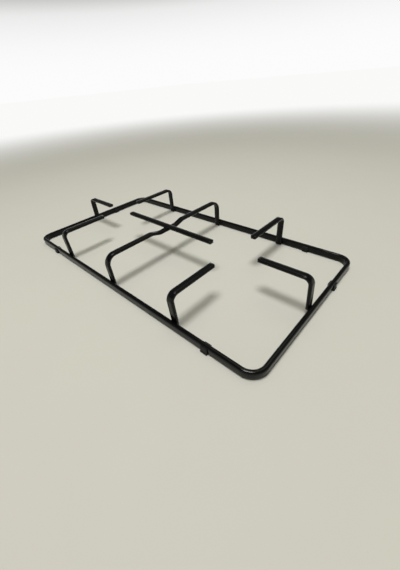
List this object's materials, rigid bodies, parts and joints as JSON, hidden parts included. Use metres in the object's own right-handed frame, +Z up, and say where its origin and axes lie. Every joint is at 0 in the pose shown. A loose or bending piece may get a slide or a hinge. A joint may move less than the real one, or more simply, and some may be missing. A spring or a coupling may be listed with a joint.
{
  "type": "hob pan support",
  "caption": "Pan support for a pair of hob burners: a rectangular frame of flat bar on rubber feet, with raised fingers reaching in towards each burner and a crossing of bars between them.",
  "frame": {"origin": "under the middle of the frame, on the surface that the feet stand on", "axes": "+X along the frame towards the burner with the wider gap, +Y towards the rear long side, +Z up"},
  "size_m": [0.4542, 0.2366, 0.0462],
  "materials": {
    "enamelled_steel": "gloss",
    "foot_rubber": "matte"
  },
  "bodies": {
    "root": {"frame_ring": "enamelled_steel", "cross_bar": "enamelled_steel", "centre_bar": "enamelled_steel", "front_left_finger": "enamelled_steel", "rear_left_finger": "enamelled_steel", "front_right_finger": "enamelled_steel", "rear_right_finger": "enamelled_steel", "left_end_finger": "enamelled_steel", "right_end_finger": "enamelled_steel", "front_left_foot": "foot_rubber", "front_right_foot": "foot_rubber", "rear_right_foot": "foot_rubber", "left_end_foot": "foot_rubber", "right_end_foot": "foot_rubber"}
  },
  "joints": []
}
